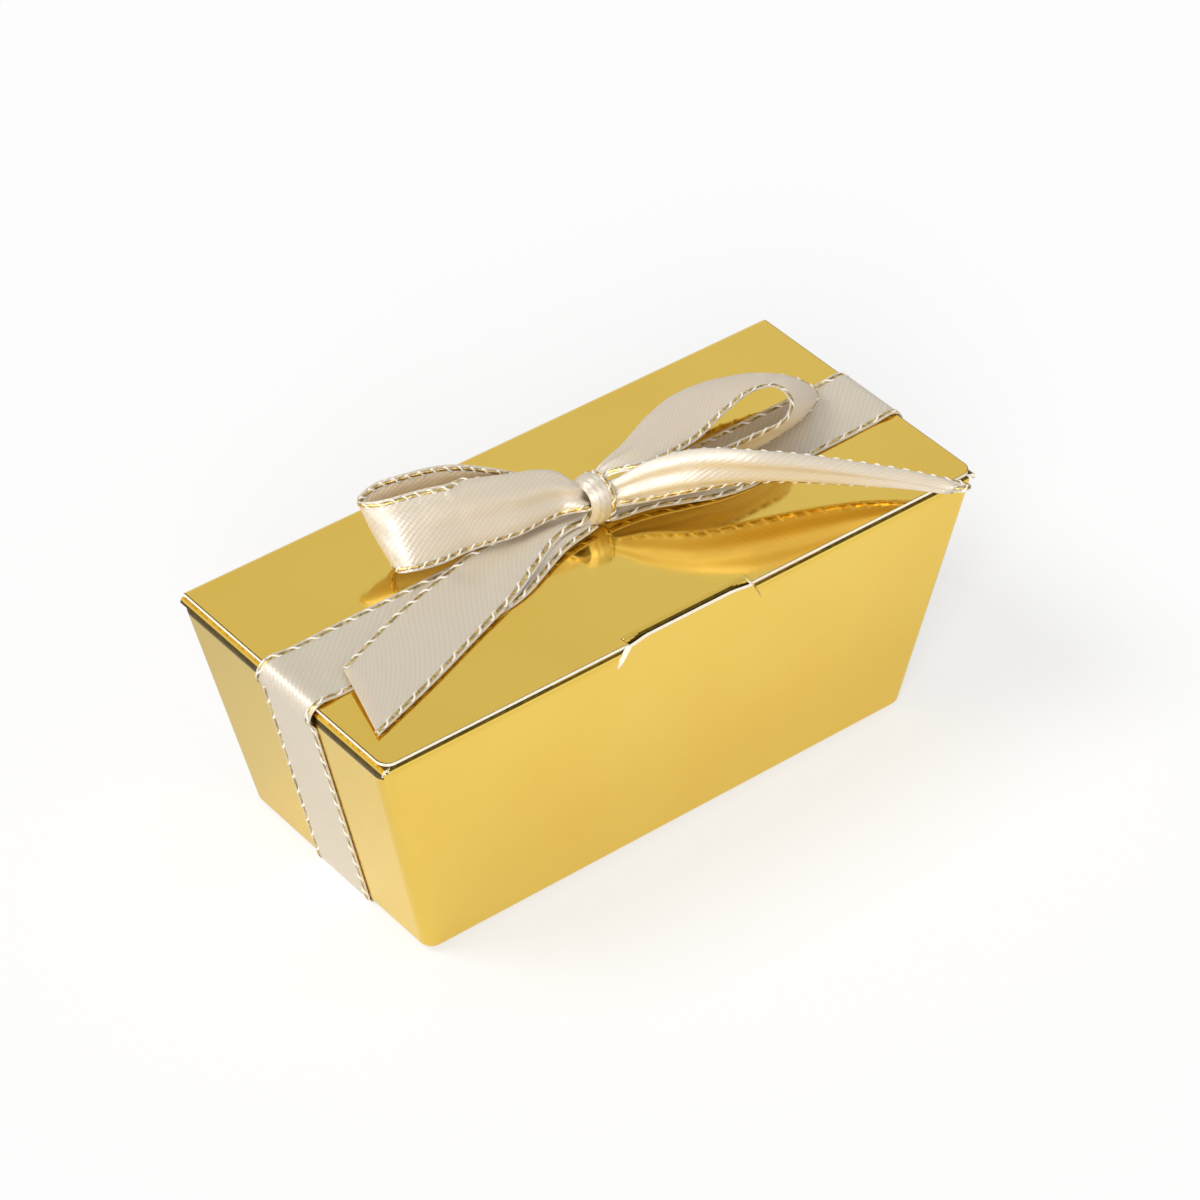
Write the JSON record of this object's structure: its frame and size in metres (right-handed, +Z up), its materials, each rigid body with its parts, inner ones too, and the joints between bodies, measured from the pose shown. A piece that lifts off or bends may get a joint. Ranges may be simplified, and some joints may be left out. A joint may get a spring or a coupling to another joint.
{
  "type": "chocolate box",
  "caption": "Small tapered folding box of gold foil board with a hinged tuck-in lid, tied lengthwise with a satin ribbon and bow, holding two chocolates in fluted cups.",
  "frame": {"origin": "middle of the base, on the surface that the box stands on, which the underside of the ribbon's base run touches", "axes": "+X along the length of the box to the right, -Y towards the front with the slit lip, +Z up"},
  "size_m": [0.0866, 0.0404, 0.0417],
  "materials": {
    "gold_foil_board": "paperboard of about 0.4 mm laminated with polished gold foil outside, plain white board on the inside and at cut edges",
    "satin_ribbon": "ivory satin, with a narrow band of gold metallic thread along both edges",
    "cup_paper": "matte brown pleated paper",
    "chocolate": "tempered milk and dark chocolate with a soft sheen"
  },
  "bodies": {
    "tray": {"base_panel": "gold_foil_board", "front_panel": "gold_foil_board", "right_end_panel": "gold_foil_board", "back_panel": "gold_foil_board", "left_end_panel": "gold_foil_board", "front_left_glue_web": "gold_foil_board", "back_left_glue_web": "gold_foil_board", "front_right_glue_web": "gold_foil_board", "back_right_glue_web": "gold_foil_board", "ribbon_base_run": "satin_ribbon", "ribbon_left_end_run": "satin_ribbon", "ribbon_right_end_run": "satin_ribbon", "left_paper_cup": "cup_paper", "left_praline": "chocolate", "right_paper_cup": "cup_paper", "right_praline": "chocolate"},
    "lid": {"lid_panel": "gold_foil_board", "ribbon_left_top_run": "satin_ribbon", "ribbon_right_top_run": "satin_ribbon", "bow_knot": "satin_ribbon", "bow_left_loop": "satin_ribbon", "bow_right_loop": "satin_ribbon", "bow_left_tail": "satin_ribbon", "bow_right_tail": "satin_ribbon"},
    "tuck_tab": {"tuck_tab": "gold_foil_board"},
    "front_flap": {"front_flap": "gold_foil_board"},
    "left_dust_flap": {"left_dust_flap": "gold_foil_board"},
    "right_dust_flap": {"right_dust_flap": "gold_foil_board"}
  },
  "joints": [
    {"name": "lid_hinge", "type": "hinge", "parent": "tray", "child": "lid", "pos_m": [0, 0.0188, 0.0315], "axis": [-1, 0, 0], "range_deg": [0, 135]},
    {"name": "tuck_tab_fold", "type": "hinge", "parent": "lid", "child": "tuck_tab", "pos_m": [0, -0.01746, 0.03294], "axis": [-1, 0, 0], "range_deg": [0, 27.1]},
    {"name": "front_flap_hinge", "type": "hinge", "parent": "tray", "child": "front_flap", "pos_m": [0, -0.0188, 0.0315], "axis": [1, 0, 0], "range_deg": [0, 135.5]},
    {"name": "left_flap_hinge", "type": "hinge", "parent": "tray", "child": "left_dust_flap", "pos_m": [-0.0425, 0, 0.0315], "axis": [0, -1, 0], "range_deg": [0, 60.9]},
    {"name": "right_flap_hinge", "type": "hinge", "parent": "tray", "child": "right_dust_flap", "pos_m": [0.0425, 0, 0.0315], "axis": [0, 1, 0], "range_deg": [0, 60.9]}
  ],
  "couplings": [
    {"joint": "tuck_tab_fold", "follows": "lid_hinge", "ratio": 0.2},
    {"joint": "front_flap_hinge", "follows": "lid_hinge", "ratio": 1},
    {"joint": "left_flap_hinge", "follows": "lid_hinge", "ratio": 0.45},
    {"joint": "right_flap_hinge", "follows": "lid_hinge", "ratio": 0.45}
  ]
}
